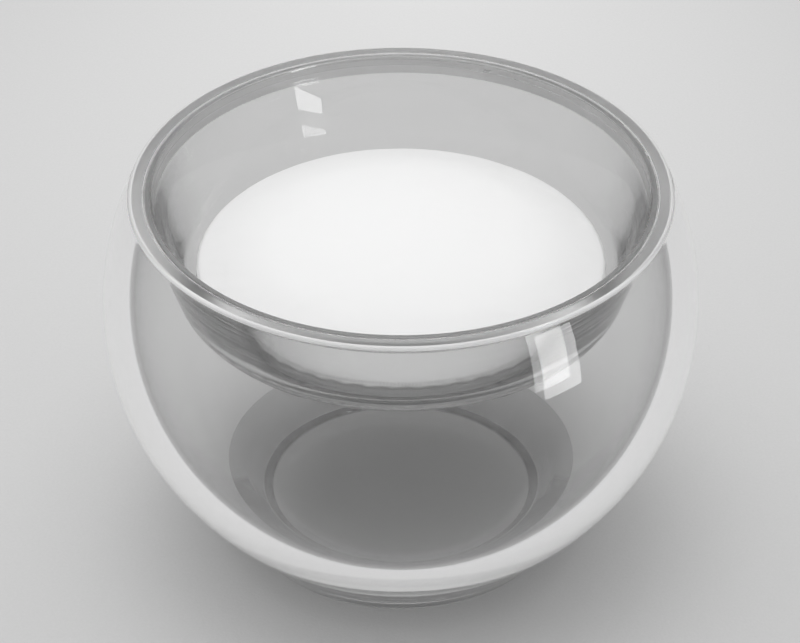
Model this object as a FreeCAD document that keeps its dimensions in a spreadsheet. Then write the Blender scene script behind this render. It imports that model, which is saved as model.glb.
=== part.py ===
import FreeCAD
import Part
import Sketcher

import math
import os

# A baby bed: a clear bubble with an open top stands in a conical ring. A clear bowl hangs in the
# bubble's mouth and carries a round mattress. Everything is turned about the vertical axis.

doc = FreeCAD.newDocument("bubble_baby_bed")

# Driving dimensions, in millimetres and degrees.
SIZES = [
    # the bubble
    ("shell_radius", 440.0),
    ("shell_wall", 39.0),
    ("belly_cut", 48.0),
    ("belly_clear", 6.0),
    ("floor_wall", 39.0),
    ("floor_round", 60.0),
    ("belly_round", 8.0),
    # the bubble's mouth
    ("rim_rise", 200.0),
    ("rim_land", 19.0),
    ("rim_round", 8.0),
    ("seat_angle", 70.0),
    ("seat_round", 1.5),
    # the band between the mouth and the bowl
    ("gasket_thickness", 2.0),
    ("gasket_width", 15.0),
    ("gasket_margin", 2.5),
    ("seat_ease", 0.3),
    # the bowl
    ("lip_land", 8.0),
    ("lip_depth", 26.0),
    ("lip_round", 2.0),
    ("bowl_wall", 9.0),
    ("bowl_depth", 28.0),
    ("bowl_floor", 19.0),
    ("bowl_inner_lean", 20.0),
    ("bowl_outer_lean", 15.3),
    ("bowl_inner_cap", 620.0),
    ("bowl_outer_cap", 640.0),
    ("bowl_inner_knuckle", 40.0),
    ("bowl_outer_knuckle", 60.0),
    # the mattress
    ("mattress_loft", 60.4),
    ("mattress_edge", 22.0),
    ("mattress_ease", 0.4),
    ("cover_thickness", 4.0),
    ("cover_ease", 0.2),
    # the ring under the bubble
    ("ring_seat_radius", 293.0),
    ("ring_seat_width", 36.0),
    ("ring_outer_lean", 36.0),
    ("ring_inner_lean", 47.5),
    ("ring_round", 2.5),
    ("bond_line", 0.2),
    ("strip_thickness", 3.0),
    ("strip_inset", 3.0),
]

sheet = doc.addObject("Spreadsheet::Sheet", "Sizes")
for row, (alias, value) in enumerate(SIZES, start=1):
    sheet.set(f"A{row}", alias)
    sheet.set(f"B{row}", str(value))
    sheet.setAlias(f"B{row}", alias)
doc.recompute()
size = {alias: float(sheet.get(alias)) for alias, _ in SIZES}

# Places that several pieces share, as expressions on the sheet and as numbers for the first sketch.
RIM_RADIUS = "sqrt(Sizes.shell_radius^2 - Sizes.rim_rise^2)"
SEAT_TOP = f"({RIM_RADIUS} - Sizes.rim_land)"
SEAT_SLOPE = "(Sizes.seat_angle * 1 deg)"
LIP_RADIUS = f"({SEAT_TOP} - (Sizes.gasket_thickness + Sizes.seat_ease) / sin({SEAT_SLOPE}))"
BELLY_LEVEL = "(Sizes.belly_cut - Sizes.shell_radius)"
CENTRE_HEIGHT = f"(Sizes.belly_clear - {BELLY_LEVEL})"
RING_SEAT_INNER = "(Sizes.ring_seat_radius - Sizes.ring_seat_width)"
ROLL_ACROSS = ("inner_bowl_outline.Constraints.knuckle_across"
               " * (Sizes.bowl_inner_cap - Sizes.mattress_ease - Sizes.mattress_edge)"
               " / (Sizes.bowl_inner_cap - Sizes.bowl_inner_knuckle)")

rim_radius = math.sqrt(size["shell_radius"] ** 2 - size["rim_rise"] ** 2)
seat_top = rim_radius - size["rim_land"]
seat_slope = math.radians(size["seat_angle"])
lip_radius = seat_top - (size["gasket_thickness"] + size["seat_ease"]) / math.sin(seat_slope)
belly_level = size["belly_cut"] - size["shell_radius"]
centre_height = size["belly_clear"] - belly_level

# The points of a sketched line or arc, and the sketch's own axes.
START, END, CENTRE = range(1, 4)
LEVEL_AXIS, UPRIGHT_AXIS = range(-1, -3, -1)
ORIGIN = (LEVEL_AXIS, START)


class Outline:
    """Half of a turned section: x is the radius and y the height, closed and revolved about y."""

    def __init__(self, label):
        self.body = doc.addObject("PartDesign::Body", label)
        self.body.Label = label
        self.sketch = self.body.newObject("Sketcher::SketchObject", label + "_outline")
        planes = [f for f in self.body.Origin.OriginFeatures if f.Role == "XZ_Plane"]
        self.sketch.AttachmentSupport = (planes[0], "")
        self.sketch.MapMode = "FlatFace"
        self.dimensions = 0

    def line(self, start, end):
        segment = Part.LineSegment(FreeCAD.Vector(*start, 0), FreeCAD.Vector(*end, 0))
        return self.sketch.addGeometry(segment, False)

    def arc(self, centre, start, end):
        """An arc that runs counter-clockwise from start to end about centre."""
        from_angle = math.atan2(start[1] - centre[1], start[0] - centre[0])
        to_angle = math.atan2(end[1] - centre[1], end[0] - centre[0])
        circle = Part.Circle(FreeCAD.Vector(*centre, 0), FreeCAD.Vector(0, 0, 1), math.dist(centre, start))
        return self.sketch.addGeometry(Part.ArcOfCircle(circle, from_angle, to_angle), False)

    def rule(self, kind, *references):
        self.sketch.addConstraint(Sketcher.Constraint(kind, *references))

    def join(self, *ends):
        """Each pair of (geometry, end) meets in one point."""
        for first, second in ends:
            self.rule("Coincident", *first, *second)

    def smooth(self, *ends):
        """Each pair of (geometry, end) meets in one point without a corner."""
        for first, second in ends:
            self.rule("Tangent", *first, *second)

    def on_axis(self, *points):
        for geometry, point in points:
            self.rule("PointOnObject", geometry, point, UPRIGHT_AXIS)

    def level(self, *lines):
        for geometry in lines:
            self.rule("Horizontal", geometry)

    def dimension(self, kind, references, value, expression):
        index = self.sketch.addConstraint(Sketcher.Constraint(kind, *references, value))
        self.dimensions += 1
        name = f"size_{self.dimensions}"
        self.sketch.renameConstraint(index, name)
        self.sketch.setExpression("Constraints." + name, expression)

    def measure(self, name, kind, references, value):
        """A named length that other pieces read, and that drives nothing here."""
        index = self.sketch.addConstraint(Sketcher.Constraint(kind, *references, value))
        self.sketch.setDriving(index, False)
        self.sketch.renameConstraint(index, name)

    def place(self, point, across=None, up=None):
        """Fixes a point's radius and height; each is a (number, expression) pair."""
        if across:
            self.dimension("DistanceX", (*ORIGIN, *point), *across)
        if up:
            self.dimension("DistanceY", (*ORIGIN, *point), *up)

    def radius(self, geometry, value, expression):
        self.dimension("Radius", (geometry,), value, expression)

    def slope(self, geometry, value, expression):
        self.dimension("Angle", (geometry,), value, expression)

    def turn(self, base_height=None):
        """Revolves the outline, and sets the piece at its height above the floor."""
        turned = self.body.newObject("PartDesign::Revolution", self.body.Label + "_turned")
        turned.Profile = self.sketch
        turned.ReferenceAxis = (self.sketch, ["V_Axis"])
        turned.Angle = 360.0
        if base_height:
            self.body.setExpression(".Placement.Base.z", base_height)
        doc.recompute()
        return turned

    def soften(self, name, expression, *circles):
        """Rounds the edges that run through the given (radius, height) points of the section."""
        tip = self.body.Tip
        edges = []
        for across, up in circles:
            gap = [abs(e.Curve.Radius - across) + abs(e.Curve.Center.z - up) if is_ring(e) else math.inf
                   for e in tip.Shape.Edges]
            edges.append(f"Edge{gap.index(min(gap)) + 1}")
        rounding = self.body.newObject("PartDesign::Fillet", name)
        rounding.Base = (tip, edges)
        rounding.setExpression("Radius", expression)
        doc.recompute()


def is_ring(edge):
    return not edge.Degenerated and isinstance(edge.Curve, Part.Circle) and abs(edge.Curve.Axis.z) > 0.5


def below_centre(radius, across):
    """Depth under a ball's centre at which the ball is this far across."""
    return -math.sqrt(radius ** 2 - across ** 2)


def make_outer_shell():
    """The bubble: a ball with a flat floor, an open mouth and a bevelled seat inside the rim."""
    outer = size["shell_radius"]
    inner = outer - size["shell_wall"]
    floor_level = belly_level + size["floor_wall"]
    belly_edge = (math.sqrt(outer ** 2 - belly_level ** 2), belly_level)
    floor_edge = (math.sqrt(inner ** 2 - floor_level ** 2), floor_level)
    rim_edge = (rim_radius, size["rim_rise"])
    seat_edge = (seat_top, size["rim_rise"])
    # where the seat's slope runs out into the inside of the ball
    lean = seat_edge[0] - seat_edge[1] / math.tan(seat_slope)
    share = lean * math.sin(seat_slope)
    along = math.sqrt(inner ** 2 - share ** 2)
    seat_foot = (share * math.sin(seat_slope) + along * math.cos(seat_slope),
                 -share * math.cos(seat_slope) + along * math.sin(seat_slope))

    o = Outline("outer_shell")
    belly = o.line((0, belly_level), belly_edge)
    outside = o.arc((0, 0), belly_edge, rim_edge)
    land = o.line(rim_edge, seat_edge)
    seat = o.line(seat_foot, seat_edge)
    inside = o.arc((0, 0), floor_edge, seat_foot)
    floor = o.line(floor_edge, (0, floor_level))
    middle = o.line((0, floor_level), (0, belly_level))
    o.join(((belly, END), (outside, START)), ((outside, END), (land, START)), ((land, END), (seat, END)),
           ((seat, START), (inside, END)), ((inside, START), (floor, START)), ((floor, END), (middle, START)),
           ((middle, END), (belly, START)), ((outside, CENTRE), ORIGIN), ((inside, CENTRE), ORIGIN))
    o.on_axis((belly, START), (floor, END))
    o.level(belly, land, floor)
    o.radius(outside, outer, "Sizes.shell_radius")
    o.radius(inside, inner, "Sizes.shell_radius - Sizes.shell_wall")
    o.place((belly, START), up=(belly_level, BELLY_LEVEL))
    o.place((floor, END), up=(floor_level, BELLY_LEVEL + " + Sizes.floor_wall"))
    o.place((land, START), up=(size["rim_rise"], "Sizes.rim_rise"))
    o.dimension("DistanceX", (land, END, land, START), size["rim_land"], "Sizes.rim_land")
    o.slope(seat, seat_slope, SEAT_SLOPE)
    o.turn(CENTRE_HEIGHT)
    o.soften("floor_corner", "Sizes.floor_round", floor_edge)
    o.soften("rim_corner", "Sizes.rim_round", rim_edge)
    o.soften("seat_corner", "Sizes.seat_round", seat_edge)
    o.soften("belly_corner", "Sizes.belly_round", belly_edge)
    return o.body


def make_seat_gasket():
    """The clear band that lies on the seat inside the rim, under the bowl's lip."""
    thick, wide, margin = size["gasket_thickness"], size["gasket_width"], size["gasket_margin"]
    along = (math.cos(seat_slope), math.sin(seat_slope))
    inward = (-math.sin(seat_slope), math.cos(seat_slope))
    top = (seat_top - margin * along[0], size["rim_rise"] - margin * along[1])
    bottom = (top[0] - wide * along[0], top[1] - wide * along[1])
    bottom_inner = (bottom[0] + thick * inward[0], bottom[1] + thick * inward[1])
    top_inner = (top[0] + thick * inward[0], top[1] + thick * inward[1])

    o = Outline("seat_gasket")
    bed = o.line(bottom, top)
    upper = o.line(top, top_inner)
    face = o.line(top_inner, bottom_inner)
    lower = o.line(bottom_inner, bottom)
    o.join(((bed, END), (upper, START)), ((upper, END), (face, START)), ((face, END), (lower, START)),
           ((lower, END), (bed, START)))
    o.rule("Perpendicular", bed, upper)
    o.rule("Parallel", bed, face)
    o.rule("Perpendicular", bed, lower)
    o.slope(bed, seat_slope, SEAT_SLOPE)
    o.dimension("Distance", (bed,), wide, "Sizes.gasket_width")
    o.dimension("Distance", (upper,), thick, "Sizes.gasket_thickness")
    o.place((bed, END), across=(top[0], f"{SEAT_TOP} - Sizes.gasket_margin * cos({SEAT_SLOPE})"),
            up=(top[1], f"Sizes.rim_rise - Sizes.gasket_margin * sin({SEAT_SLOPE})"))
    o.turn(CENTRE_HEIGHT)
    return o.body


def knuckle_points(wall_point, wall_lean, cap_centre, cap_radius, knuckle):
    """Where a round of radius knuckle leaves a leaning wall and runs into a cap on the axis."""
    down = (-math.sin(wall_lean), -math.cos(wall_lean))
    inward = (-math.cos(wall_lean), math.sin(wall_lean))
    near = (wall_point[0] + knuckle * inward[0], wall_point[1] + knuckle * inward[1] - cap_centre)
    half = near[0] * down[0] + near[1] * down[1]
    rest = near[0] ** 2 + near[1] ** 2 - (cap_radius - knuckle) ** 2
    run = -half + math.sqrt(half ** 2 - rest)
    centre = (near[0] + run * down[0], near[1] + run * down[1] + cap_centre)
    on_wall = (wall_point[0] + run * down[0], wall_point[1] + run * down[1])
    reach = cap_radius / (cap_radius - knuckle)
    on_cap = (centre[0] * reach, cap_centre + (centre[1] - cap_centre) * reach)
    return centre, on_wall, on_cap


# The bowl's lip and the inside that the mattress lies in, as numbers for the first sketches.
lip_outer = (lip_radius, size["rim_rise"])
lip_inner = (lip_radius - size["lip_land"], size["rim_rise"])
lip_foot = (lip_radius - size["lip_depth"] / math.tan(seat_slope), size["rim_rise"] - size["lip_depth"])
mouth_radius = lip_foot[0] - size["bowl_wall"]
mouth = (mouth_radius, size["rim_rise"] - (lip_inner[0] - mouth_radius) * math.tan(seat_slope))
inner_lean = math.radians(size["bowl_inner_lean"])
inner_pole = -size["bowl_depth"]
inner_centre = inner_pole + size["bowl_inner_cap"]
inside_turn = knuckle_points(mouth, inner_lean, inner_centre, size["bowl_inner_cap"], size["bowl_inner_knuckle"])
# the mattress's edge rolls in line with the bowl's knuckle, so that it fills the dish
roll_share = ((size["bowl_inner_cap"] - size["mattress_ease"] - size["mattress_edge"])
              / (size["bowl_inner_cap"] - size["bowl_inner_knuckle"]))
roll_across = inside_turn[0][0] * roll_share


def make_inner_bowl():
    """The clear bowl: a lip on the rim's seat, a wall that thickens downwards and a dished floor."""
    outer_lean = math.radians(size["bowl_outer_lean"])
    outer_pole = inner_pole - size["bowl_floor"]
    outer_centre = outer_pole + size["bowl_outer_cap"]
    outside_turn = knuckle_points(lip_foot, outer_lean, outer_centre, size["bowl_outer_cap"],
                                  size["bowl_outer_knuckle"])

    o = Outline("inner_bowl")
    outer_cap = o.arc((0, outer_centre), (0, outer_pole), outside_turn[2])
    outer_round = o.arc(outside_turn[0], outside_turn[2], outside_turn[1])
    outer_wall = o.line(outside_turn[1], lip_foot)
    lip_side = o.line(lip_foot, lip_outer)
    lip = o.line(lip_outer, lip_inner)
    lip_slope = o.line(mouth, lip_inner)
    inner_wall = o.line(inside_turn[1], mouth)
    inner_round = o.arc(inside_turn[0], inside_turn[2], inside_turn[1])
    inner_cap = o.arc((0, inner_centre), (0, inner_pole), inside_turn[2])
    middle = o.line((0, inner_pole), (0, outer_pole))
    o.smooth(((outer_cap, END), (outer_round, START)), ((outer_round, END), (outer_wall, START)),
             ((inner_cap, END), (inner_round, START)), ((inner_round, END), (inner_wall, START)))
    o.join(((outer_wall, END), (lip_side, START)), ((lip_side, END), (lip, START)),
           ((lip, END), (lip_slope, END)), ((lip_slope, START), (inner_wall, END)),
           ((inner_cap, START), (middle, START)), ((middle, END), (outer_cap, START)))
    o.on_axis((outer_cap, START), (outer_cap, CENTRE), (inner_cap, START), (inner_cap, CENTRE))
    o.level(lip)
    o.rule("Parallel", lip_side, lip_slope)
    o.slope(lip_side, seat_slope, SEAT_SLOPE)
    o.slope(outer_wall, math.pi / 2 - outer_lean, "90 deg - Sizes.bowl_outer_lean * 1 deg")
    o.slope(inner_wall, math.pi / 2 - inner_lean, "90 deg - Sizes.bowl_inner_lean * 1 deg")
    o.radius(outer_cap, size["bowl_outer_cap"], "Sizes.bowl_outer_cap")
    o.radius(inner_cap, size["bowl_inner_cap"], "Sizes.bowl_inner_cap")
    o.radius(outer_round, size["bowl_outer_knuckle"], "Sizes.bowl_outer_knuckle")
    o.radius(inner_round, size["bowl_inner_knuckle"], "Sizes.bowl_inner_knuckle")
    o.place((lip, START), across=(lip_radius, LIP_RADIUS), up=(size["rim_rise"], "Sizes.rim_rise"))
    o.dimension("DistanceX", (lip, END, lip, START), size["lip_land"], "Sizes.lip_land")
    o.dimension("DistanceY", (lip_side, START, lip_side, END), size["lip_depth"], "Sizes.lip_depth")
    o.dimension("DistanceX", (lip_slope, START, lip_side, START), size["bowl_wall"], "Sizes.bowl_wall")
    o.place((inner_cap, START), up=(inner_pole, "-Sizes.bowl_depth"))
    o.place((outer_cap, START), up=(outer_pole, "-Sizes.bowl_depth - Sizes.bowl_floor"))
    o.measure("knuckle_across", "DistanceX", (*ORIGIN, inner_round, CENTRE), inside_turn[0][0])
    o.turn(CENTRE_HEIGHT)
    o.soften("lip_corners", "Sizes.lip_round", lip_outer, lip_inner)
    return o.body


def make_mattress_form(label, inset, inset_expression):
    """A round cushion: an underside dished like the bowl, a rolled edge and a crowned top."""
    edge = size["mattress_edge"] - inset
    under_radius = size["bowl_inner_cap"] - size["mattress_ease"] - inset
    under_pole = -size["bowl_depth"] + size["mattress_ease"] + inset
    under_centre = under_pole + under_radius
    roll_level = under_centre + below_centre(under_radius - edge, roll_across)
    step = size["mattress_loft"] - inset
    crown = roll_level + step
    # the crown's radius for which its arc runs smoothly into the rolled edge
    crown_radius = (roll_across ** 2 + step ** 2 - edge ** 2) / (2 * (step - edge))
    crown_centre = crown - crown_radius
    roll = (roll_across, roll_level)
    under_reach = under_radius / (under_radius - edge)
    crown_reach = crown_radius / (crown_radius - edge)
    under_end = (roll_across * under_reach, under_centre + (roll_level - under_centre) * under_reach)
    crown_end = (roll_across * crown_reach, crown_centre + (roll_level - crown_centre) * crown_reach)

    o = Outline(label)
    under = o.arc((0, under_centre), (0, under_pole), under_end)
    rolled = o.arc(roll, under_end, crown_end)
    top = o.arc((0, crown_centre), crown_end, (0, crown))
    middle = o.line((0, crown), (0, under_pole))
    o.smooth(((under, END), (rolled, START)), ((rolled, END), (top, START)))
    o.join(((top, END), (middle, START)), ((middle, END), (under, START)))
    o.on_axis((under, START), (under, CENTRE), (top, END), (top, CENTRE))
    o.radius(under, under_radius, f"Sizes.bowl_inner_cap - Sizes.mattress_ease - {inset_expression}")
    o.radius(rolled, edge, f"Sizes.mattress_edge - {inset_expression}")
    o.place((rolled, CENTRE), across=(roll_across, ROLL_ACROSS))
    o.place((under, START), up=(under_pole, f"-Sizes.bowl_depth + Sizes.mattress_ease + {inset_expression}"))
    o.dimension("DistanceY", (rolled, CENTRE, top, END), step, f"Sizes.mattress_loft - {inset_expression}")
    o.measure("seam_level", "DistanceY", (*ORIGIN, rolled, CENTRE), roll_level)
    o.turn(CENTRE_HEIGHT)
    return o.body


def make_cover_half(label, shell, seam, above):
    """One half of the mattress cover, above or below the seam that runs round the rolled edge."""
    half = doc.addObject("Part::Cylinder", label + "_side")
    half.setExpression("Radius", "Sizes.shell_radius")
    half.setExpression("Height", "Sizes.shell_radius")
    drop = "" if above else " - Sizes.shell_radius"
    half.setExpression(".Placement.Base.z", f"({CENTRE_HEIGHT}{drop}) * 1 mm + {seam}")
    panel = doc.addObject("Part::Common", label)
    panel.Base = shell
    panel.Tool = half
    panel.Label = label
    return panel


# The ring's corners, as numbers for the first sketches.
ring_ball = size["shell_radius"] + size["bond_line"]
ring_seat_outer = size["ring_seat_radius"]
ring_seat_inner = ring_seat_outer - size["ring_seat_width"]
outer_corner = (ring_seat_outer, centre_height + below_centre(ring_ball, ring_seat_outer))
inner_corner = (ring_seat_inner, centre_height + below_centre(ring_ball, ring_seat_inner))
ring_outer_lean = math.radians(size["ring_outer_lean"])
ring_inner_lean = math.radians(size["ring_inner_lean"])
foot_level = size["strip_thickness"]
ring_foot_outer = ring_seat_outer - (outer_corner[1] - foot_level) * math.tan(ring_outer_lean)
ring_foot_inner = ring_seat_inner - (inner_corner[1] - foot_level) * math.tan(ring_inner_lean)


def make_base_ring():
    """The conical ring: a foot on the floor and a seat turned to the bubble's own roundness."""
    foot_inner = (ring_foot_inner, foot_level)
    foot_outer = (ring_foot_outer, foot_level)

    o = Outline("base_ring")
    foot = o.line(foot_inner, foot_outer)
    outside = o.line(foot_outer, outer_corner)
    seat = o.arc((0, centre_height), inner_corner, outer_corner)
    inside = o.line(foot_inner, inner_corner)
    o.join(((foot, END), (outside, START)), ((outside, END), (seat, END)), ((seat, START), (inside, END)),
           ((inside, START), (foot, START)))
    o.level(foot)
    o.on_axis((seat, CENTRE))
    o.slope(outside, math.pi / 2 - ring_outer_lean, "90 deg - Sizes.ring_outer_lean * 1 deg")
    o.slope(inside, math.pi / 2 - ring_inner_lean, "90 deg - Sizes.ring_inner_lean * 1 deg")
    o.place((foot, START), up=(foot_level, "Sizes.strip_thickness"))
    o.place((seat, START), across=(ring_seat_inner, RING_SEAT_INNER))
    o.place((seat, END), across=(ring_seat_outer, "Sizes.ring_seat_radius"))
    o.place((seat, CENTRE), up=(centre_height, CENTRE_HEIGHT))
    o.radius(seat, ring_ball, "Sizes.shell_radius + Sizes.bond_line")
    o.measure("foot_inner", "DistanceX", (*ORIGIN, foot, START), ring_foot_inner)
    o.measure("foot_outer", "DistanceX", (*ORIGIN, foot, END), ring_foot_outer)
    o.turn()
    o.soften("foot_corners", "Sizes.ring_round", foot_inner, foot_outer)
    return o.body


def make_foot_strip():
    """The clear strip under the ring's foot."""
    inner = ring_foot_inner + size["strip_inset"]
    outer = ring_foot_outer - size["strip_inset"]
    corners = [(inner, 0), (outer, 0), (outer, foot_level), (inner, foot_level)]

    o = Outline("foot_strip")
    sides = [o.line(corners[k], corners[(k + 1) % 4]) for k in range(4)]
    for k in range(4):
        o.join(((sides[k], END), (sides[(k + 1) % 4], START)))
    o.level(sides[0], sides[2])
    o.rule("Vertical", sides[1])
    o.rule("Vertical", sides[3])
    o.rule("PointOnObject", sides[0], START, LEVEL_AXIS)
    ring = "base_ring_outline.Constraints."
    o.place((sides[0], START), across=(inner, ring + "foot_inner + Sizes.strip_inset * 1 mm"))
    o.place((sides[1], END), across=(outer, ring + "foot_outer - Sizes.strip_inset * 1 mm"),
            up=(foot_level, "Sizes.strip_thickness"))
    o.turn()
    return o.body


def make_mattress():
    """The foam core and the two halves of its sewn cover."""
    form = make_mattress_form("mattress_form", 0.0, "0")
    hollow = make_mattress_form("cover_hollow", size["cover_thickness"], "Sizes.cover_thickness")
    core = make_mattress_form("mattress_core", size["cover_thickness"] + size["cover_ease"],
                              "(Sizes.cover_thickness + Sizes.cover_ease)")
    shell = doc.addObject("Part::Cut", "cover_shell")
    shell.Base = form
    shell.Tool = hollow
    seam = "mattress_form_outline.Constraints.seam_level"
    top = make_cover_half("mattress_top_cover", shell, seam, True)
    under = make_cover_half("mattress_under_cover", shell, seam, False)
    doc.recompute()
    return [core, top, under]


pieces = [make_outer_shell(), make_seat_gasket(), make_inner_bowl(), make_base_ring(), make_foot_strip()]
pieces += make_mattress()
doc.recompute()

failed = [o.Label for o in doc.Objects if "Invalid" in o.State or "Error" in o.State]
failed += [p.Label for p in pieces if p.Shape.isNull() or not p.Shape.isValid() or not p.Shape.Solids]
if failed:
    raise RuntimeError("not built: " + ", ".join(failed))

os.makedirs("parts", exist_ok=True)
for piece in pieces:
    piece.Shape.exportStep(f"parts/{piece.Label}.step")
    box = piece.Shape.BoundBox
    print(f"{piece.Label}: {len(piece.Shape.Solids)} solid, {piece.Shape.Volume / 1e6:.3f} dm3, "
          f"radius {box.XMax:.1f}, from {box.ZMin:.1f} to {box.ZMax:.1f} mm")
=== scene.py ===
# %% [markdown]
# # A clear bubble bed
# This small crib is a thick clear bubble, cut open at the top, that stands in a conical ring. A clear bowl
# hangs in its mouth and holds a round mattress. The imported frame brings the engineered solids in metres, with
# the floor at z = 0. This lesson dresses them: polished clear walls, a soft white mattress and a studio.

import math

import bmesh
import bpy
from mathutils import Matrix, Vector, noise


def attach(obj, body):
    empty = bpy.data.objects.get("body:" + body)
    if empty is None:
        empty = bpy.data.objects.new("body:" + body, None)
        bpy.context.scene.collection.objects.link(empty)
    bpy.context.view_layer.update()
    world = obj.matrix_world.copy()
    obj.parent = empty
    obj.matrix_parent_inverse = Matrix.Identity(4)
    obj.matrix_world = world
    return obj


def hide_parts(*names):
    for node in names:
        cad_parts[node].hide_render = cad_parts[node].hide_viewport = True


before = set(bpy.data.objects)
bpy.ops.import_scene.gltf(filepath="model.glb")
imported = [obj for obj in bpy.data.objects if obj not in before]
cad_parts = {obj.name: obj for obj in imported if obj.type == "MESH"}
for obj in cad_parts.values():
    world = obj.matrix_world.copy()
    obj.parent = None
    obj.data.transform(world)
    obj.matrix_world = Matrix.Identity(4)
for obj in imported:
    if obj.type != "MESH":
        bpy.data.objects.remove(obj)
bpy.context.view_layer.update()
print("solids in the frame:", sorted(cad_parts))

# %% [markdown]
# ## Turned shapes
# Every hard piece is round about the upright axis, so one half-section tells the whole shape. A section is
# a list of points, as (distance from the axis, height) in millimetres, with arcs where the piece is round.
# It could be spun with a Screw modifier, but bmesh's spin gives the finished mesh at once. Clear walls bend
# light at both faces, so the steps are fine: a coarse mesh shows as facets in a clear wall, which is why the
# frame's own triangles are replaced.

# %% Points along a section
ARC_STEP, STRAIGHT_STEP = 5.0, 6.0
FEWEST_STEPS = 8


def arc(centre, radius, start, end):
    """Points on an arc about a centre, with its angles in degrees."""
    steps = max(FEWEST_STEPS, round(abs(math.radians(end - start)) * radius / ARC_STEP))
    angles = [math.radians(start + (end - start) * k / steps) for k in range(steps + 1)]
    return [(centre[0] + radius * math.cos(a), centre[1] + radius * math.sin(a)) for a in angles]


def soft_corner(before, corner, after, radius):
    """Points that round off the corner between two straight runs."""
    corner = Vector(corner)
    back, on = (Vector(before) - corner).normalized(), (Vector(after) - corner).normalized()
    half = back.angle(on) / 2
    centre = corner + (back + on).normalized() * radius / math.sin(half)
    start, end = (corner + way * radius / math.tan(half) - centre for way in (back, on))
    first = math.degrees(math.atan2(start.y, start.x))
    return arc(centre, radius, first, first - math.degrees(start.angle_signed(end)))


def evened(section):
    """Adds points to the straight runs, so that a soft corner shades only the few millimetres beside it."""
    closed = section[0][0] > 0
    points = []
    for here, there in zip(section, section[1:] + section[:1] * closed):
        steps = max(1, math.ceil(math.dist(here, there) / STRAIGHT_STEP))
        points += [Vector(here).lerp(Vector(there), k / steps) for k in range(steps)]
    return points if closed else points + section[-1:]


# %% Spinning a section
SHARP_ANGLE = math.radians(25)
FINE_SECTORS, MERGE_DISTANCE = 224, 1e-6
METRE = 1000


def turned(name, section, sectors=FINE_SECTORS):
    """Spins a section once round the upright axis, and goes from millimetres to metres."""
    mesh = bpy.data.meshes.new(name)
    bm = bmesh.new()
    rail = [bm.verts.new((r / METRE, 0, h / METRE)) for r, h in evened(section)]
    for a, b in zip(rail, rail[1:]):
        bm.edges.new((a, b))
    if section[0][0] > 0:
        bm.edges.new((rail[-1], rail[0]))
    bmesh.ops.spin(bm, geom=bm.verts[:] + bm.edges[:], cent=(0, 0, 0), axis=(0, 0, 1),
                   angle=2 * math.pi, steps=sectors, use_merge=True)
    bmesh.ops.remove_doubles(bm, verts=bm.verts, dist=MERGE_DISTANCE)
    bmesh.ops.recalc_face_normals(bm, faces=bm.faces)
    bm.to_mesh(mesh)
    bm.free()
    mesh.shade_smooth()
    mesh.set_sharp_from_angle(angle=SHARP_ANGLE)
    piece = bpy.data.objects.new(name, mesh)
    bpy.context.scene.collection.objects.link(piece)
    print(f"{name}: {len(mesh.vertices)} points")
    return piece


# %% [markdown]
# ## The bubble
# A ball of 880 mm with a wall of 39 mm. A maker would cast it as two thick shells, bond them and polish the
# joint away. The rim is flat with a soft outer corner, and a steep seat inside it takes the bowl. The ball is
# cut flat underneath, and inside, the corner of its floor is rounded. The places where a rounding meets the
# ball are worked out, so every wall can change.

# %% The ball's sizes
BALL_CENTRE, BALL_RADIUS, WALL = 398.0, 440.0, 39.0
RIM_HEIGHT, BELLY_HEIGHT, FLOOR_HEIGHT = 598.0, 6.0, 45.0
OUTSIDE_CORNER, INSIDE_CORNER, SEAT_CORNER = 8.0, 60.0, 1.5
RIM_LAND, SEAT_ANGLE = 19.0, 70.0
INNER_RADIUS = BALL_RADIUS - WALL
BALL = (0.0, BALL_CENTRE)
SEAT_MOUTH = math.sqrt(BALL_RADIUS ** 2 - (RIM_HEIGHT - BALL_CENTRE) ** 2) - RIM_LAND


def ball_corner(ball_radius, level, radius):
    """A rounding between the ball and a level face: its centre, and the angle at which it meets the ball."""
    up = level + math.copysign(radius, BALL_CENTRE - level)
    across = math.sqrt((ball_radius - radius) ** 2 - (up - BALL_CENTRE) ** 2)
    return (across, up), math.degrees(math.atan2(up - BALL_CENTRE, across))


print(f"the seat opens {2 * SEAT_MOUTH:.0f} mm wide")

# %% The bubble's wall
belly, belly_angle = ball_corner(BALL_RADIUS, BELLY_HEIGHT, OUTSIDE_CORNER)
rim, rim_angle = ball_corner(BALL_RADIUS, RIM_HEIGHT, OUTSIDE_CORNER)
inside, inside_angle = ball_corner(INNER_RADIUS, FLOOR_HEIGHT, INSIDE_CORNER)
up_seat = Vector((math.cos(math.radians(SEAT_ANGLE)), math.sin(math.radians(SEAT_ANGLE))))
off_seat = Vector((-up_seat.y, up_seat.x))
seat_reach = -off_seat.dot(Vector((SEAT_MOUTH, RIM_HEIGHT - BALL_CENTRE)))
foot_angle = SEAT_ANGLE - math.degrees(math.asin(seat_reach / INNER_RADIUS))
seat_foot = arc(BALL, INNER_RADIUS, foot_angle, inside_angle)
bubble_section = [(0, BELLY_HEIGHT)] + arc(belly, OUTSIDE_CORNER, -90, belly_angle)
bubble_section += arc(BALL, BALL_RADIUS, belly_angle, rim_angle)[1:]
bubble_section += arc(rim, OUTSIDE_CORNER, rim_angle, 90)[1:]
bubble_section += soft_corner((rim[0], RIM_HEIGHT), (SEAT_MOUTH, RIM_HEIGHT), seat_foot[0], SEAT_CORNER)
bubble_section += seat_foot + arc(inside, INSIDE_CORNER, inside_angle, -90)[1:]
bubble_section += [(0, FLOOR_HEIGHT)]
bubble = turned("clear_bubble", bubble_section)
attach(bubble, "stand")
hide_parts("outer_shell")

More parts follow.
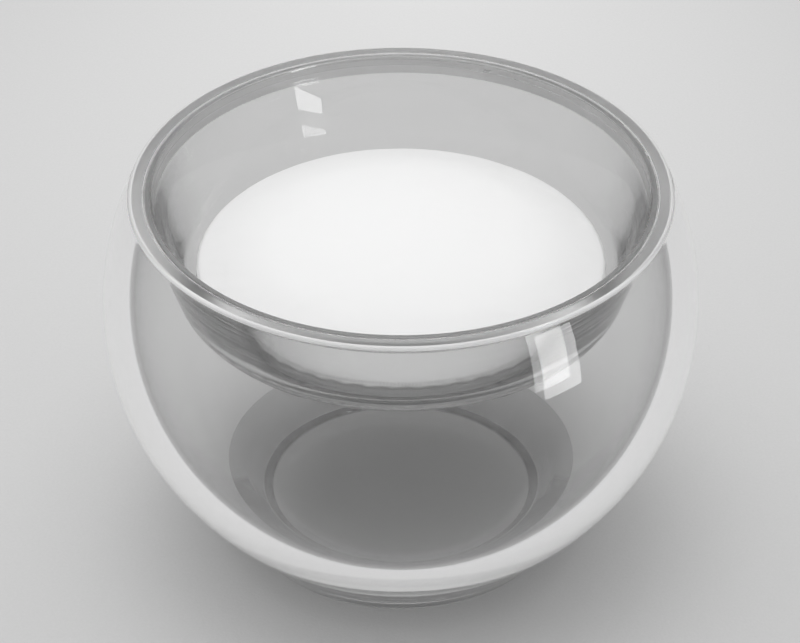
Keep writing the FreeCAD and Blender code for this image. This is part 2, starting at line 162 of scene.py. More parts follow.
# %% [markdown]
# ## The bowl
# The bowl is one casting, with a wall that is thin at the neck and thick at the knuckle. It bends the view
# like a lens and draws dark crescents under the opening. The lip fills the seat flush with the rim, and the
# inside runs straight down from it. Each face of the wall is a dish, a knuckle and a straight lean; the
# knuckle touches both, so its centre is solved for.

# %% The bowl's sizes
BOWL_UNDER, BOWL_FLOOR = 351.0, 370.0
UNDER_RADIUS, FLOOR_RADIUS = 640.0, 620.0
OUTER_KNUCKLE, INNER_KNUCKLE = 60.0, 40.0
OUTER_LEAN, INNER_LEAN = 15.3, 20.0
NECK_WALL, LIP_LAND, LIP_DEPTH = 9.0, 8.0, 26.0
LIP_CORNER = 2.0
BAND_THICKNESS, BAND_CLEARANCE = 2.0, 0.3


def down_seat(point, depth):
    """The point that lies this much lower on a line that runs along the seat."""
    return point[0] - depth * up_seat.x / up_seat.y, point[1] - depth


def knuckle_centre(dish_radius, knuckle, lean, neck, dish_up):
    """The centre of a round that touches both the leaning wall and the dish, seen from the dish's centre."""
    slope = math.radians(lean)
    down, inwards = Vector((-math.sin(slope), -math.cos(slope))), Vector((-math.cos(slope), math.sin(slope)))
    from_neck = Vector((neck[0], neck[1] - dish_up)) + inwards * knuckle
    along = from_neck.dot(down)
    drop = -along + math.sqrt(along ** 2 + (dish_radius - knuckle) ** 2 - from_neck.length_squared)
    return from_neck + down * drop


def dished_face(low, dish_radius, knuckle, lean, neck):
    """Points up one face of the bowl's wall, from the axis to the top of the knuckle."""
    dish_up = low + dish_radius
    middle = knuckle_centre(dish_radius, knuckle, lean, neck, dish_up)
    meet = math.degrees(math.atan2(middle.y, middle.x))
    dish = arc((0, dish_up), dish_radius, -90, meet)
    return [(0, low)] + dish[1:] + arc((middle.x, middle.y + dish_up), knuckle, meet, -lean)[1:]


print(f"the bowl's wall is {NECK_WALL:.0f} mm at the neck and {BOWL_FLOOR - BOWL_UNDER:.0f} mm at the axis")

# %% The bowl's wall
lip_outer = (SEAT_MOUTH - (BAND_THICKNESS + BAND_CLEARANCE) / up_seat.y, RIM_HEIGHT)
lip_inner = (lip_outer[0] - LIP_LAND, RIM_HEIGHT)
outer_neck = down_seat(lip_outer, LIP_DEPTH)
neck_depth = (lip_inner[0] - outer_neck[0] + NECK_WALL) * up_seat.y / up_seat.x
inner_neck = down_seat(lip_inner, neck_depth)
bowl_section = dished_face(BOWL_UNDER, UNDER_RADIUS, OUTER_KNUCKLE, OUTER_LEAN, outer_neck) + [outer_neck]
bowl_section += soft_corner(outer_neck, lip_outer, lip_inner, LIP_CORNER)
bowl_section += soft_corner(lip_outer, lip_inner, inner_neck, LIP_CORNER) + [inner_neck]
bowl_section += dished_face(BOWL_FLOOR, FLOOR_RADIUS, INNER_KNUCKLE, INNER_LEAN, inner_neck)[::-1]
bowl = turned("clear_bowl", bowl_section)
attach(bowl, "bowl")
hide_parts("inner_bowl")

# %% [markdown]
# ## The ring and the two soft bands
# The ring under the bubble is a cone whose top is turned to the ball's own roundness, with a hair's width for
# the bond. A clear silicone strip lies under its foot, and a band of the same stuff lies in the seat, so that
# acrylic never rubs on acrylic. All three could be lathed in one go, but they are separate pieces.

# %% The ring
RING_RADIUS, RING_WIDTH, BOND = 293.0, 36.0, 0.2
RING_OUTER_LEAN, RING_INNER_LEAN = 36.0, 47.5
FOOT_HEIGHT, FOOT_CORNER = 3.0, 2.5


def on_ball(across):
    """The angle at which the ring's seat has this distance from the axis."""
    return -math.degrees(math.acos(across / (BALL_RADIUS + BOND)))


def foot(top, lean):
    """Where a leaning face of the ring reaches the foot."""
    return top[0] - math.tan(math.radians(lean)) * (top[1] - FOOT_HEIGHT), FOOT_HEIGHT


ring_seat = arc(BALL, BALL_RADIUS + BOND, on_ball(RING_RADIUS), on_ball(RING_RADIUS - RING_WIDTH))
foot_outer, foot_inner = foot(ring_seat[0], RING_OUTER_LEAN), foot(ring_seat[-1], RING_INNER_LEAN)
ring_section = soft_corner(ring_seat[-1], foot_inner, foot_outer, FOOT_CORNER)
ring_section += soft_corner(foot_inner, foot_outer, ring_seat[0], FOOT_CORNER) + ring_seat
ring = turned("clear_ring", ring_section)
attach(ring, "stand")
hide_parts("base_ring")

# %% Foot strip and seat band
STRIP_INSET, STRIP_CORNER, STRIP_LIFT = 3.0, 1.0, 0.3
BAND_WIDTH, BAND_DROP = 15.0, 2.5
strip_inner, strip_outer = foot_inner[0] + STRIP_INSET, foot_outer[0] - STRIP_INSET
low_inner, low_outer = (strip_inner, STRIP_LIFT), (strip_outer, STRIP_LIFT)
strip_section = soft_corner((strip_inner, FOOT_HEIGHT), low_inner, low_outer, STRIP_CORNER)
strip_section += soft_corner(low_inner, low_outer, (strip_outer, FOOT_HEIGHT), STRIP_CORNER)
strip_section += [(strip_outer, FOOT_HEIGHT), (strip_inner, FOOT_HEIGHT)]
strip = turned("foot_band", strip_section)
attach(strip, "stand")
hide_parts("foot_strip")

band_top = Vector((SEAT_MOUTH, RIM_HEIGHT)) - up_seat * BAND_DROP
band_foot = band_top - up_seat * BAND_WIDTH
band_face = off_seat * BAND_THICKNESS
band_section = [tuple(p) for p in (band_foot, band_top, band_top + band_face, band_foot + band_face)]
band = turned("seat_band", band_section)
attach(band, "stand")
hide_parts("seat_gasket")

# %% [markdown]
# ## The mattress
# A lens-shaped foam core in a sewn cotton cover. On the real pad the foam fills the cover, the shoulder
# slumps a little all round, and the seam pulls the edge in with small puckers. Blender's cloth with pressure
# blows the cover up against the foam's shape, which gives an even, taut skin; the slump and the seam are
# then moved in by rule, because only the sewing makes them. These moves go inwards, so the pad still fits
# the bowl.

# %% The pad's section
PAD_CLEARANCE, ROLL_RADIUS, LOFT = 0.4, 22.0, 60.4
DISH_UP, PAD_RADIUS = BOWL_FLOOR + FLOOR_RADIUS, FLOOR_RADIUS - PAD_CLEARANCE
dish_edge = knuckle_centre(FLOOR_RADIUS, INNER_KNUCKLE, INNER_LEAN, inner_neck, DISH_UP)
ROLL_ACROSS = dish_edge.x * (PAD_RADIUS - ROLL_RADIUS) / (FLOOR_RADIUS - INNER_KNUCKLE)
SEAM_HEIGHT = DISH_UP - math.sqrt((PAD_RADIUS - ROLL_RADIUS) ** 2 - ROLL_ACROSS ** 2)
CROWN_RADIUS = (ROLL_ACROSS ** 2 + LOFT ** 2 - ROLL_RADIUS ** 2) / (2 * (LOFT - ROLL_RADIUS))
CROWN_UP = SEAM_HEIGHT + LOFT - CROWN_RADIUS


def pad_section(inset):
    """The mattress's half-section, moved inwards by inset all round."""
    low, high = (math.degrees(math.atan2(SEAM_HEIGHT - up, ROLL_ACROSS)) for up in (DISH_UP, CROWN_UP))
    points = arc((0, DISH_UP), PAD_RADIUS - inset, -90, low)
    points += arc((ROLL_ACROSS, SEAM_HEIGHT), ROLL_RADIUS - inset, low, high)[1:]
    points += arc((0, CROWN_UP), CROWN_RADIUS - inset, high, 90)[1:]
    return [(0, points[0][1])] + points[1:-1] + [(0, points[-1][1])]


print(f"seam at {SEAM_HEIGHT:.1f} mm, crown radius {CROWN_RADIUS:.0f} mm")

# %% How the pad slumps, in metres
SHOULDER_START, SHOULDER_END, SHOULDER_SINK = 0.19, 0.30, 0.45
DIMPLE_DEPTH, DIMPLE_FADE = 0.0011, 0.02
BROAD, FINE, FINE_SHARE = 9.0, 23.0, 0.5
SEAM_PULL, SEAM_REACH, NEAR_AXIS = 0.003, 0.006, 0.1
PUCKERS, PUCKER_SHARE = 56, 0.45


def slumped(co):
    """Where a point of the pad goes: the shoulder sinks and the seam draws the edge in."""
    across, above = co.xy.length, co.z - SEAM_HEIGHT / METRE
    if above > 0:
        shoulder = min(max((across - SHOULDER_START) / (SHOULDER_END - SHOULDER_START), 0), 1)
        soft = noise.noise(co * BROAD) + FINE_SHARE * noise.noise(co * FINE)
        dimple = DIMPLE_DEPTH * (1 + soft) * min(above / DIMPLE_FADE, 1)
        co.z -= above * SHOULDER_SINK * shoulder ** 2 + dimple
    gather = 1 + PUCKER_SHARE * math.sin(PUCKERS * math.atan2(co.y, co.x))
    pull = SEAM_PULL * gather * math.exp(-(above / SEAM_REACH) ** 2)
    co.xy *= 1 - pull / max(across, NEAR_AXIS)
    return co


# %% Foam core
CORE_INSET, CORE_SECTORS, CORE_FILL = 9.0, 96, 0.9
core = turned("foam_core", pad_section(CORE_INSET), sectors=CORE_SECTORS)
for vertex in core.data.vertices:
    vertex.co = slumped(vertex.co.copy())
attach(core, "mattress")
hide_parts("mattress_core")

# %% Blow up the cover
COVER_INSET, COVER_SECTORS = 2.5, 128
MESH_SIZE, LARGEST_MOVE, SMALLEST_MOVE = 0.006, 0.002, 1e-9
FIRST_FRAME, LAST_FRAME, PRESSURE = 1, 20, 4.0
pad = turned("cover_form", pad_section(COVER_INSET), sectors=COVER_SECTORS)
remesh = pad.modifiers.new("even_mesh", "REMESH")
remesh.mode = "VOXEL"
remesh.voxel_size = MESH_SIZE
bpy.context.view_layer.objects.active = pad
bpy.ops.object.modifier_apply(modifier="even_mesh")
before = [v.co.copy() for v in pad.data.vertices]
cloth = pad.modifiers.new("blow_up", "CLOTH")
cloth.settings.use_pressure = True
cloth.settings.uniform_pressure_force = PRESSURE
cloth.settings.effector_weights.gravity = 0
for step in range(FIRST_FRAME, LAST_FRAME + 1):
    bpy.context.scene.frame_set(step)
bpy.ops.object.modifier_apply(modifier="blow_up")
bpy.context.scene.frame_set(FIRST_FRAME)
for v, old in zip(pad.data.vertices, before):
    move = v.co - old
    v.co = old + move * min(1, LARGEST_MOVE / max(move.length, SMALLEST_MOVE))
for vertex in pad.data.vertices:
    vertex.co = slumped(vertex.co.copy())
print("cover form:", len(pad.data.vertices), "points")


# %% Part the cover at its seam
CLOTH_THICKNESS, INWARDS = 0.0015, -1


def cover_half(name, above):
    """Keeps the part of the cover above or below the seam, and gives it the cloth's thickness."""
    half = bpy.data.objects.new(name, pad.data.copy())
    bpy.context.scene.collection.objects.link(half)
    bm = bmesh.new()
    bm.from_mesh(half.data)
    bmesh.ops.bisect_plane(bm, geom=bm.verts[:] + bm.edges[:] + bm.faces[:], dist=MERGE_DISTANCE,
                           plane_co=(0, 0, SEAM_HEIGHT / METRE), plane_no=(0, 0, 1),
                           clear_inner=above, clear_outer=not above)
    bm.to_mesh(half.data)
    bm.free()
    half.data.shade_smooth()
    thick = half.modifiers.new("cloth_thickness", "SOLIDIFY")
    thick.thickness = CLOTH_THICKNESS
    thick.offset = INWARDS
    round_off = half.modifiers.new("soft", "SUBSURF")
    round_off.levels = round_off.render_levels = 1
    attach(half, "mattress")
    print(name, len(half.data.vertices), "points")
    return half


top_cover = cover_half("top_cover", True)
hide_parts("mattress_top_cover")
under_cover = cover_half("under_cover", False)
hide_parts("mattress_under_cover")
bpy.data.objects.remove(pad)


# %% [markdown]
# ## Node helpers
# A finish is a small network of nodes. One helper adds a node and fills its inputs, either with a plain
# value or with another node's output. A second helper opens a node group: an effect that several finishes
# share is drawn once as a group and then used by each of them, so that a change reaches them all.

# %% Helpers for nodes and groups
def node(tree, kind, inputs=None, **settings):
    """Adds a node. Settings are its own choices; inputs are plain values or sockets to link."""
    made = tree.nodes.new(kind)
    for key, value in settings.items():
        setattr(made, key, value)
    for key, value in (inputs or {}).items():
        if isinstance(value, bpy.types.NodeSocket):
            tree.links.new(value, made.inputs[key])
        else:
            made.inputs[key].default_value = value
    return made


def effect(name, takes, gives):
    """Opens a node group and returns it with its input and output nodes."""
    group = bpy.data.node_groups.new(name, "ShaderNodeTree")
    for label, (kind, value) in takes.items():
        group.interface.new_socket(label, in_out="INPUT", socket_type=kind).default_value = value
    for label, kind in gives.items():
        group.interface.new_socket(label, in_out="OUTPUT", socket_type=kind)
    return group, group.nodes.new("NodeGroupInput"), group.nodes.new("NodeGroupOutput")


COLOUR, NUMBER = "NodeSocketColor", "NodeSocketFloat"
WHITE = (1.0, 1.0, 1.0, 1.0)

# %% [markdown]
# ## Clear walls
# Cast acrylic is polished with ever finer wheels and wiped with a cloth. What is left are faint wipe marks
# and a very slight unevenness of the tint. Both come from stretched noise, and the group gives them as a
# colour, a roughness and a height, so the polished walls, the sanded rim and the soft bands can share it.

# %% Surface of a clear part
surface, given, result = effect("wiped_surface", {"Tint": (COLOUR, WHITE), "Roughness": (NUMBER, 0.0)},
                                {"Colour": COLOUR, "Roughness": NUMBER, "Height": NUMBER})
place = node(surface, "ShaderNodeTexCoord").outputs["Object"]
cast = node(surface, "ShaderNodeTexNoise", {"Vector": place, "Scale": 5.0, "Detail": 2.0})
even = node(surface, "ShaderNodeMapRange", {"Value": cast.outputs["Fac"], "From Min": 0.3, "From Max": 0.7,
                                            "To Min": 0.985, "To Max": 1.0})
tinted = node(surface, "ShaderNodeVectorMath", {"Vector": given.outputs["Tint"],
                                                "Scale": even.outputs["Result"]}, operation="SCALE")
long_marks = node(surface, "ShaderNodeMapping", {"Vector": place, "Scale": (9.0, 9.0, 60.0)})
wipes = node(surface, "ShaderNodeTexNoise", {"Vector": long_marks.outputs["Vector"], "Scale": 4.0,
                                             "Detail": 4.0})
marks = node(surface, "ShaderNodeMapRange", {"Value": wipes.outputs["Fac"], "From Min": 0.55, "From Max": 0.8,
                                             "To Min": 0.0, "To Max": 0.012})
rough = node(surface, "ShaderNodeMath", {0: given.outputs["Roughness"], 1: marks.outputs["Result"]})
grain = node(surface, "ShaderNodeTexNoise", {"Vector": place, "Scale": 700.0, "Detail": 2.0})
surface.links.new(tinted.outputs[0], result.inputs["Colour"])
surface.links.new(rough.outputs[0], result.inputs["Roughness"])
surface.links.new(grain.outputs["Fac"], result.inputs["Height"])
print("shared effect:", surface.name, [item.name for item in surface.interface.items_tree])

# %% [markdown]
# A clear wall bends the view, but a renderer finds lamps badly through bent paths and leaves black shadows.
# So shadow rays and soft bounced light pass straight on, dimmed a little by each face. In the real object the
# same light arrives by many paths. The clear share of a finish stays one plain number: a polished wall is
# all clear, a sanded edge is part clear and part white. Where a view leaves a wall of the cavity at a flat
# angle, the wall's colour is darkened there, up to the share called edge: painted shade for a dark line.


# %% A clear finish
ACRYLIC_TINT, ACRYLIC_IOR, ACRYLIC_SHADE = 0.9, 1.49, 0.88
FLAT_START, FLAT_END = 0.05, 0.35
SANDED_STRENGTH, SANDED_DEPTH = 0.15, 0.0004
DIM_MIRROR = (0.5, 0.5, 0.5, 1)


def clear_finish(name, clear, rough, tint=ACRYLIC_TINT, ior=ACRYLIC_IOR, shade=ACRYLIC_SHADE, edge=0.0,
                 sanded=False):
    """A clear finish: its clear share, its roughness, and what its faces take from passing light."""
    finish = bpy.data.materials.new(name)
    finish.use_nodes = True
    tree = finish.node_tree
    shader = tree.nodes["Principled BSDF"]
    shader.inputs["Transmission Weight"].default_value = clear
    shader.inputs["IOR"].default_value = ior
    shader.inputs["Specular Tint"].default_value = DIM_MIRROR
    wiped = node(tree, "ShaderNodeGroup", node_tree=surface)
    wiped.inputs["Tint"].default_value = (tint, tint, tint, 1)
    wiped.inputs["Roughness"].default_value = rough
    tree.links.new(wiped.outputs["Roughness"], shader.inputs["Roughness"])
    # Painted shade: seen from inside at a flat angle, the wall's colour is darkened, up to the share edge.
    grazing = node(tree, "ShaderNodeFresnel", {"IOR": ior})
    from_inside = node(tree, "ShaderNodeNewGeometry").outputs["Backfacing"]
    edge_shade_ramp = node(tree, "ShaderNodeMapRange", {"Value": grazing.outputs["Fac"], "From Min": FLAT_START,
                                                 "From Max": FLAT_END, "To Min": 0.0, "To Max": edge})
    painted_edge_shade = node(tree, "ShaderNodeMath", {0: edge_shade_ramp.outputs["Result"], 1: from_inside}, operation="MULTIPLY")
    unshaded_share = node(tree, "ShaderNodeMath", {0: 1.0, 1: painted_edge_shade.outputs[0]}, operation="SUBTRACT")
    tint_with_painted_shade = node(tree, "ShaderNodeVectorMath", {"Vector": wiped.outputs["Colour"], "Scale": unshaded_share.outputs[0]},
                operation="SCALE")
    tree.links.new(tint_with_painted_shade.outputs[0], shader.inputs["Base Color"])
    if sanded:
        bump = node(tree, "ShaderNodeBump", {"Height": wiped.outputs["Height"], "Strength": SANDED_STRENGTH,
                                             "Distance": SANDED_DEPTH})
        tree.links.new(bump.outputs["Normal"], shader.inputs["Normal"])
    passing = node(tree, "ShaderNodeBsdfTransparent", {"Color": (shade, shade, shade, 1)})
    path = node(tree, "ShaderNodeLightPath")
    either = node(tree, "ShaderNodeMath", {0: path.outputs["Is Shadow Ray"],
                                           1: path.outputs["Is Diffuse Ray"]}, operation="MAXIMUM")
    mix = node(tree, "ShaderNodeMixShader", {0: either.outputs[0], 1: shader.outputs[0],
                                             2: passing.outputs[0]})
    tree.links.new(mix.outputs[0], tree.nodes["Material Output"].inputs["Surface"])
    return finish


# %% The clear finishes
acrylic = clear_finish("clear_acrylic", clear=1.0, rough=0.0)
# The cavity's walls carry the painted dark edge.
inner_wall = clear_finish("inner_wall", clear=1.0, rough=0.0, edge=0.85)
ring_acrylic = clear_finish("ring_acrylic", clear=0.9, rough=0.02)
silicone = clear_finish("clear_silicone", clear=0.95, rough=0.05, tint=0.95, ior=1.41, shade=0.99)
ring.data.materials.append(ring_acrylic)
for piece in (strip, band):
    piece.data.materials.append(silicone)
print("clear finishes:", [m.name for m in (acrylic, inner_wall, ring_acrylic, silicone)])

# %% [markdown]
# ## Sanded rim
# The flat rim and the bowl's lip are turned and sanded, then only half polished, so they catch the light as a
# pale even band. The seat is ground to fit and stays satin. The rounded outer corner and the seat get a
# larger white share than the flat: painted light, which makes the corner the palest band. The faces are
# picked by where they lie and which way they look, because each band is a face of the same moulding and
# not a piece of its own.

# %% Rim, corner, seat and lip
# Painted light: the corner and the seat wear a larger white share than the flat rim.
satin_rim = clear_finish("satin_rim", clear=0.92, rough=0.3, sanded=True)
satin_corner_painted_pale = clear_finish("satin_corner_painted_pale", clear=0.45, rough=0.3, sanded=True)
satin_seat_painted_pale = clear_finish("satin_seat_painted_pale", clear=0.6, rough=0.3, sanded=True)
bubble_finishes = (acrylic, inner_wall, satin_rim, satin_corner_painted_pale, satin_seat_painted_pale)
OUTSIDE, CAVITY, FLAT, CORNER, SEAT = range(len(bubble_finishes))
LEVEL = 0.98
heart = Vector((0, 0, BALL_CENTRE / METRE))
corner_foot = (rim[1] + OUTSIDE_CORNER * math.sin(math.radians(rim_angle))) / METRE
corner_start, seat_end = rim[0] / METRE, seat_foot[0][1] / METRE
lip_start = (RIM_HEIGHT - LIP_CORNER) / METRE


def bubble_band(face):
    """Which finish a face of the bubble wears."""
    if face.center.z > seat_end and face.normal.z > LEVEL:
        return FLAT
    if face.normal.dot(face.center - heart) > 0:
        on_corner = face.center.z > corner_foot and face.center.xy.length > corner_start
        return CORNER if on_corner else OUTSIDE
    return SEAT if face.center.z > seat_end else CAVITY


for finish in bubble_finishes:
    bubble.data.materials.append(finish)
for face in bubble.data.polygons:
    face.material_index = bubble_band(face)
bowl.data.materials.append(inner_wall)
bowl.data.materials.append(satin_rim)
for face in bowl.data.polygons:
    face.material_index = int(face.center.z > lip_start)
print("sanded faces:", sum(face.material_index > CAVITY for face in bubble.data.polygons))

# %% [markdown]
# ## Cotton
# The top cover is a fine knit and the under cover a firmer weave, both sewn from undyed white cotton. Threads
# are two crossed waves, far too fine to model. Slow noise adds the soft puckers of cloth over foam, and
# two rows of stitches run beside the seam. Colour and height come from one group for both cloths.

# %% Threads and puckers
KNIT_PITCH, THREAD_HEIGHT = 0.0016, 0.03
woven, given, result = effect("sewn_cotton", {"Tint": (COLOUR, WHITE), "Pitch": (NUMBER, KNIT_PITCH)},
                              {"Colour": COLOUR, "Height": NUMBER})
place = node(woven, "ShaderNodeTexCoord").outputs["Object"]
axis = node(woven, "ShaderNodeSeparateXYZ", {"Vector": place})
turns = node(woven, "ShaderNodeMath", {0: 2 * math.pi, 1: given.outputs["Pitch"]}, operation="DIVIDE")
waves = []
for side in "XY":
    angle = node(woven, "ShaderNodeMath", {0: axis.outputs[side], 1: turns.outputs[0]}, operation="MULTIPLY")
    waves.append(node(woven, "ShaderNodeMath", {0: angle.outputs[0]}, operation="SINE").outputs[0])
threads = node(woven, "ShaderNodeMath", {0: waves[0], 1: waves[1]}, operation="MULTIPLY")
puckers = node(woven, "ShaderNodeTexNoise", {"Vector": place, "Scale": 8.0, "Detail": 2.0, "Distortion": 0.8})
fleck = node(woven, "ShaderNodeMapRange", {"Value": threads.outputs[0], "From Min": -1.0, "To Min": 0.97,
                                           "To Max": 1.0})
raised = node(woven, "ShaderNodeMath", {0: threads.outputs[0], 1: THREAD_HEIGHT, 2: puckers.outputs["Fac"]},
              operation="MULTIPLY_ADD")
print(f"threads of the knit lie {KNIT_PITCH * METRE} mm apart")

# %% Stitches beside the seam
STITCH_ROW, STITCH_WIDTH, STITCH_GAP = 0.006, 0.0009, -0.3
STITCHES, STITCH_DULLING, STITCH_SINK = 380.0, 0.16, 0.2
level = node(woven, "ShaderNodeMath", {0: axis.outputs["Z"], 1: SEAM_HEIGHT / METRE}, operation="SUBTRACT")
off_seam = node(woven, "ShaderNodeMath", {0: level.outputs[0]}, operation="ABSOLUTE")
row = node(woven, "ShaderNodeMath", {0: off_seam.outputs[0], 1: STITCH_ROW, 2: STITCH_WIDTH},
           operation="COMPARE")
around = node(woven, "ShaderNodeMath", {0: axis.outputs["Y"], 1: axis.outputs["X"]}, operation="ARCTAN2")
count = node(woven, "ShaderNodeMath", {0: around.outputs[0], 1: STITCHES}, operation="MULTIPLY")
beat = node(woven, "ShaderNodeMath", {0: count.outputs[0]}, operation="SINE")
dash = node(woven, "ShaderNodeMath", {0: beat.outputs[0], 1: STITCH_GAP}, operation="GREATER_THAN")
stitch = node(woven, "ShaderNodeMath", {0: row.outputs[0], 1: dash.outputs[0]}, operation="MULTIPLY")
dull = node(woven, "ShaderNodeMath", {0: stitch.outputs[0], 1: -STITCH_DULLING, 2: fleck.outputs["Result"]},
            operation="MULTIPLY_ADD")
dyed = node(woven, "ShaderNodeVectorMath", {"Vector": given.outputs["Tint"], "Scale": dull.outputs[0]},
            operation="SCALE")
pulled = node(woven, "ShaderNodeMath", {0: stitch.outputs[0], 1: -STITCH_SINK, 2: raised.outputs[0]},
              operation="MULTIPLY_ADD")
woven.links.new(dyed.outputs[0], result.inputs["Colour"])
woven.links.new(pulled.outputs[0], result.inputs["Height"])
print("shared effect:", woven.name)


# %% Knit and weave on the two covers
MATT_STRENGTH, COTTON_SHEEN = 0.6, 0.1
COTTON = (0.79, 0.79, 0.79)
WEAVE_PITCH = 0.0024


def matt(name, group, tint, roughness, depth, **values):
    """A matt finish whose colour and height come from one of the shared effects."""
    finish = bpy.data.materials.new(name)
    finish.use_nodes = True
    tree = finish.node_tree
    shader = tree.nodes["Principled BSDF"]
    shader.inputs["Roughness"].default_value = roughness
    cloth = node(tree, "ShaderNodeGroup", node_tree=group)
    cloth.inputs["Tint"].default_value = (*tint, 1)
    for key, value in values.items():
        cloth.inputs[key].default_value = value
    bump = node(tree, "ShaderNodeBump", {"Height": cloth.outputs["Height"], "Strength": MATT_STRENGTH,
                                         "Distance": depth})
    tree.links.new(cloth.outputs["Colour"], shader.inputs["Base Color"])
    tree.links.new(bump.outputs["Normal"], shader.inputs["Normal"])
    return finish


for piece, name, pitch in ((top_cover, "white_knit", KNIT_PITCH), (under_cover, "white_weave", WEAVE_PITCH)):
    finish = matt(name, woven, COTTON, roughness=0.9, depth=0.006, Pitch=pitch)
    finish.node_tree.nodes["Principled BSDF"].inputs["Sheen Weight"].default_value = COTTON_SHEEN
    piece.data.materials.clear()
    piece.data.materials.append(finish)
    print(piece.name, "wears", finish.name)

# %% [markdown]
# ## Foam and paper
# The core is open foam: pale, matt and full of small cells. The studio floor is a sheet of matt paper with
# short fibres. Both are a fine speckle of light and dark with a little height, so they share one group.

# %% Speckle
speckled, given, result = effect("speckle", {"Tint": (COLOUR, WHITE), "Fineness": (NUMBER, 300.0)},
                                 {"Colour": COLOUR, "Height": NUMBER})
place = node(speckled, "ShaderNodeTexCoord").outputs["Object"]
cells = node(speckled, "ShaderNodeTexNoise", {"Vector": place, "Scale": given.outputs["Fineness"],
                                              "Detail": 3.0})
spread = node(speckled, "ShaderNodeMapRange", {"Value": cells.outputs["Fac"], "From Min": 0.25,
                                               "From Max": 0.75, "To Min": 0.96, "To Max": 1.0})
toned = node(speckled, "ShaderNodeVectorMath", {"Vector": given.outputs["Tint"],
                                                "Scale": spread.outputs["Result"]}, operation="SCALE")
speckled.links.new(toned.outputs[0], result.inputs["Colour"])
speckled.links.new(cells.outputs["Fac"], result.inputs["Height"])
FOAM = (0.85, 0.82, 0.7)
core.data.materials.append(matt("foam", speckled, FOAM, roughness=0.95, depth=0.002, Fineness=260.0))
print("shared effect:", speckled.name)

# %% [markdown]
# ## The studio floor
# One large sheet of pale paper. It is lightest far behind the bed and falls off towards the viewer, as a
# paper sweep under one high lamp does. A thick clear ball mirrors bright surroundings in the outer band of
# its wall. Here only paper lies around it, so paper that is met after a mirroring inside the outer wall
# shines a little.

# %% Floor and its painted fall-off of light
FLOOR_REACH = 9.0
PAPER = (0.7, 0.7, 0.7)
LIGHTEST_PLACE, FALL_PER_METRE = (0.05, 1.8, 0.0), 0.45
DARKEST, LIGHTEST = 0.56, 0.85
floor_mesh = bpy.data.meshes.new("studio_floor")
corners = [(x * FLOOR_REACH, y * FLOOR_REACH, 0) for x, y in ((-1, -1), (1, -1), (1, 1), (-1, 1))]
floor_mesh.from_pydata(corners, [], [(0, 1, 2, 3)])
floor = bpy.data.objects.new("studio_floor", floor_mesh)
bpy.context.scene.collection.objects.link(floor)
paper = matt("studio_paper", speckled, PAPER, roughness=0.9, depth=0.0005, Fineness=220.0)
floor_mesh.materials.append(paper)
tree = paper.node_tree
place = node(tree, "ShaderNodeTexCoord").outputs["Object"]
# Painted pool of light: the paper's colour falls off with distance from a point far behind the bed.
away = node(tree, "ShaderNodeVectorMath", {0: place, 1: LIGHTEST_PLACE}, operation="DISTANCE")
fall = node(tree, "ShaderNodeMath", {0: FALL_PER_METRE, 1: away.outputs["Value"]}, operation="POWER")
painted_light_tone = node(tree, "ShaderNodeMapRange", {"Value": fall.outputs[0], "To Min": DARKEST, "To Max": LIGHTEST})
sheet_group = next(n for n in tree.nodes if n.type == "GROUP")
tree.links.new(painted_light_tone.outputs["Result"], sheet_group.inputs["Tint"])

# %% Painted glow in the outer wall
PAINTED_GLOW = 0.76
FACES_PASSED, HALF_STEP = 2.0, 0.5
# Painted reflection: paper seen after a mirroring and two clear faces glows white.
path = node(tree, "ShaderNodeLightPath")
mirrored = node(tree, "ShaderNodeMath", {0: path.outputs["Glossy Depth"], 1: HALF_STEP},
                operation="GREATER_THAN")
in_and_out = node(tree, "ShaderNodeMath", {0: path.outputs["Transmission Depth"], 1: FACES_PASSED,
                                           2: HALF_STEP}, operation="COMPARE")
painted_glow_mask = node(tree, "ShaderNodeMath", {0: mirrored.outputs[0], 1: in_and_out.outputs[0]},
              operation="MULTIPLY")
painted_glow_shader = node(tree, "ShaderNodeEmission", {"Color": WHITE, "Strength": PAINTED_GLOW})
mix = node(tree, "ShaderNodeMixShader", {0: painted_glow_mask.outputs[0], 1: tree.nodes["Principled BSDF"].outputs[0],
                                         2: painted_glow_shader.outputs[0]})
tree.links.new(mix.outputs[0], tree.nodes["Material Output"].inputs["Surface"])
print("floor:", floor.name, "with", paper.name)

# %% [markdown]
# ## Light
# One large soft box hangs above and a little behind the bed, so the shadow stays soft and close. A small
# panel stands low at the right and gives the bright patches on the walls. The studio all round adds a dim
# grey. Where it is seen, directly or through a clear wall, it is brighter near the horizon, and matt faces
# get the brighter light from all sides.


# %% Lamps
def softbox(name, place, aim, wide, high, power):
    """A flat lamp that hangs at a place and looks at an aim, in metres and watts."""
    lamp = bpy.data.lights.new(name, "AREA")
    lamp.shape = "RECTANGLE"
    lamp.size, lamp.size_y = wide, high
    lamp.energy = power
    holder = bpy.data.objects.new(name, lamp)
    holder.location = place
    holder.rotation_euler = (Vector(aim) - Vector(place)).to_track_quat("-Z", "Y").to_euler()
    bpy.context.scene.collection.objects.link(holder)
    print(name, "at", place)
    return holder


overhead = softbox("overhead", place=(-0.2, 0.25, 3.3), aim=(0, 0.2, 0.3), wide=2.1, high=2.1, power=60)
overhead.visible_transmission = False
panel = softbox("panel", place=(0.83, -0.72, 0.52), aim=(0, 0, 0.42), wide=0.25, high=0.38, power=3.4)
panel.visible_diffuse = False

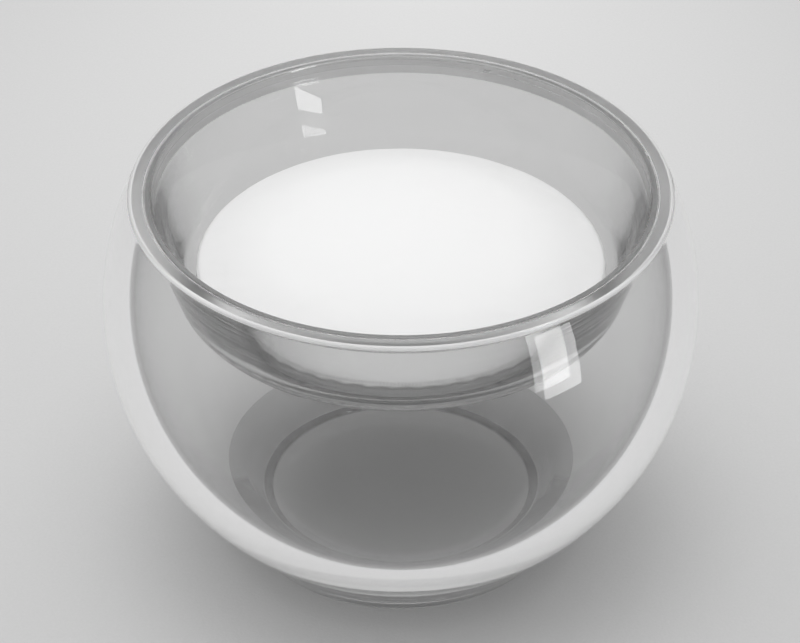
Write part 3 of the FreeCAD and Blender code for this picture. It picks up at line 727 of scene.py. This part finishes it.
# %% The studio all round
WALL_TOP, CEILING = 0.1, 0.4
STUDIO_DIM, STUDIO_BRIGHT = 0.2, 0.6
world = bpy.data.worlds.new("studio")
bpy.context.scene.world = world
world.use_nodes = True
tree = world.node_tree
path = node(tree, "ShaderNodeLightPath")
seen = node(tree, "ShaderNodeMath", {0: path.outputs["Is Camera Ray"],
                                     1: path.outputs["Is Transmission Ray"]}, operation="MAXIMUM")
way = node(tree, "ShaderNodeTexCoord").outputs["Generated"]
rise = node(tree, "ShaderNodeSeparateXYZ", {"Vector": way})
low = node(tree, "ShaderNodeMapRange", {"Value": rise.outputs["Z"], "From Min": WALL_TOP, "From Max": CEILING,
                                        "To Min": 1.0, "To Max": 0.0})
wall = node(tree, "ShaderNodeMath", {0: seen.outputs[0], 1: low.outputs["Result"]}, operation="MULTIPLY")
bright = node(tree, "ShaderNodeMath", {0: wall.outputs[0], 1: path.outputs["Is Diffuse Ray"]},
              operation="MAXIMUM")
level = node(tree, "ShaderNodeMapRange", {"Value": bright.outputs[0], "To Min": STUDIO_DIM,
                                          "To Max": STUDIO_BRIGHT})
tree.links.new(level.outputs["Result"], tree.nodes["Background"].inputs["Strength"])
tree.nodes["Background"].inputs["Color"].default_value = WHITE
print("surroundings:", world.name, "from", STUDIO_DIM, "to", STUDIO_BRIGHT)

# %% [markdown]
# ## Camera
# A long lens looks down at about 36 degrees, so the bed is seen from the front with its mouth open to view.
# Clear walls one behind another need many bounces, or the deepest views turn black.

# %% Camera
SENSOR, FOCAL_LENGTH, FARTHEST = 36.0, 133.6, 60.0
CAMERA_PLACE, LOOK_DOWN = (-0.0015, -3.578, 2.959), 36.03
BOUNCES = 40
lens = bpy.data.cameras.new("camera")
lens.sensor_width = SENSOR
lens.lens = FOCAL_LENGTH
lens.clip_end = FARTHEST
camera = bpy.data.objects.new("camera", lens)
camera.location = CAMERA_PLACE
camera.rotation_euler = (math.radians(90 - LOOK_DOWN), 0, 0)
bpy.context.scene.collection.objects.link(camera)
scene = bpy.context.scene
scene.camera = camera
scene.view_settings.view_transform = "Standard"
for limit in ("max_bounces", "transmission_bounces", "glossy_bounces", "transparent_max_bounces"):
    setattr(scene.cycles, limit, BOUNCES)
print(f"camera looks down by {LOOK_DOWN} degrees")
